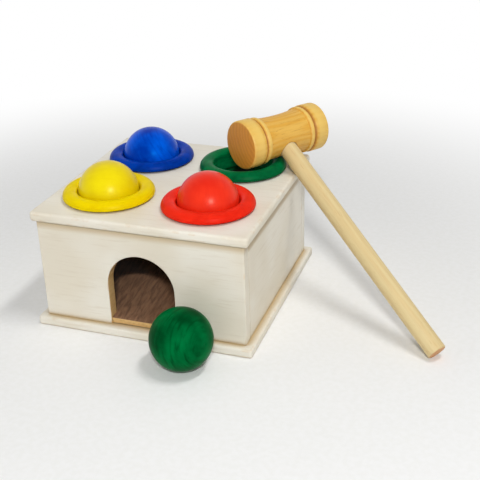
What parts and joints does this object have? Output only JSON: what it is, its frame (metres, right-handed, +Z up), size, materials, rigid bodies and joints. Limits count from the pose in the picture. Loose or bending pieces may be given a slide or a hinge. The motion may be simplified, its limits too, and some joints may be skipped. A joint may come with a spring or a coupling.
{
  "type": "ball pounding bench",
  "caption": "Square wooden toy bench with coloured balls in soft collars: a ball pounded through its collar drops onto a sloping run and rolls out of a front arch. With a turned wooden mallet.",
  "frame": {"origin": "middle of the base plate's underside, on the floor", "axes": "+Z up, -Y out of the front wall with the arch, +X to the right seen from the front, the side the mallet leans on"},
  "size_m": [0.2522, 0.1892, 0.1145],
  "materials": {
    "whitewash": "satin cream-white paint over wood",
    "bare_wood": "unpainted, matte",
    "mallet_wood": "turned, clear satin varnish",
    "handle_wood": "pale dowel, lightly oiled",
    "dowel_wood": "unpainted, matte",
    "screw_steel": "zinc-plated",
    "collar_yellow": "soft gloss plastic",
    "collar_red": "soft gloss plastic",
    "collar_blue": "soft gloss plastic",
    "collar_green": "soft gloss plastic",
    "paint_yellow": "gloss paint on a wooden ball",
    "paint_red": "gloss paint on a wooden ball",
    "paint_blue": "gloss paint on a wooden ball",
    "paint_green": "gloss paint on a wooden ball"
  },
  "bodies": {
    "bench": {"top_plate": "whitewash", "base_plate": "whitewash", "front_panel": "whitewash", "back_panel": "whitewash", "left_panel": "whitewash", "right_panel": "whitewash", "ramp_board": "bare_wood", "ramp_rail_left": "bare_wood", "ramp_rail_right": "bare_wood", "guide_left": "bare_wood", "guide_right": "bare_wood", "collar_yellow": "collar_yellow", "collar_red": "collar_red", "collar_blue": "collar_blue", "collar_green": "collar_green", "corner_dowel_front_left_low": "dowel_wood", "corner_dowel_front_left_high": "dowel_wood", "corner_dowel_front_right_low": "dowel_wood", "corner_dowel_front_right_high": "dowel_wood", "corner_dowel_back_left_low": "dowel_wood", "corner_dowel_back_left_high": "dowel_wood", "corner_dowel_back_right_low": "dowel_wood", "corner_dowel_back_right_high": "dowel_wood", "plate_dowel_left_front": "dowel_wood", "plate_dowel_left_back": "dowel_wood", "plate_dowel_right_front": "dowel_wood", "plate_dowel_right_back": "dowel_wood", "base_screw_left_front": "screw_steel", "base_screw_left_back": "screw_steel", "base_screw_right_front": "screw_steel", "base_screw_right_back": "screw_steel"},
    "yellow_ball": {"ball_yellow": "paint_yellow"},
    "red_ball": {"ball_red": "paint_red"},
    "blue_ball": {"ball_blue": "paint_blue"},
    "green_ball": {"ball_green": "paint_green"},
    "mallet": {"hammer_head": "mallet_wood", "hammer_handle": "handle_wood"}
  },
  "joints": [
    {"name": "ball_yellow_drop", "type": "slide", "parent": "bench", "child": "yellow_ball", "axis": [0, 0, 1], "range_m": [-0.0411, 0.06], "deforming": ["collar_yellow"]},
    {"name": "ball_red_drop", "type": "slide", "parent": "bench", "child": "red_ball", "axis": [0, 0, 1], "range_m": [-0.0411, 0.06], "deforming": ["collar_red"]},
    {"name": "ball_blue_drop", "type": "slide", "parent": "bench", "child": "blue_ball", "axis": [0, 0, 1], "range_m": [-0.0339, 0.06], "deforming": ["collar_blue"]},
    {"name": "ball_green_roll", "type": "slide", "parent": "bench", "child": "green_ball", "axis": [0, -1, 0], "range_m": [0, 0.15]},
    {"name": "mallet_lift", "type": "slide", "parent": "bench", "child": "mallet", "axis": [0, 0, 1], "range_m": [0, 0.15]}
  ]
}
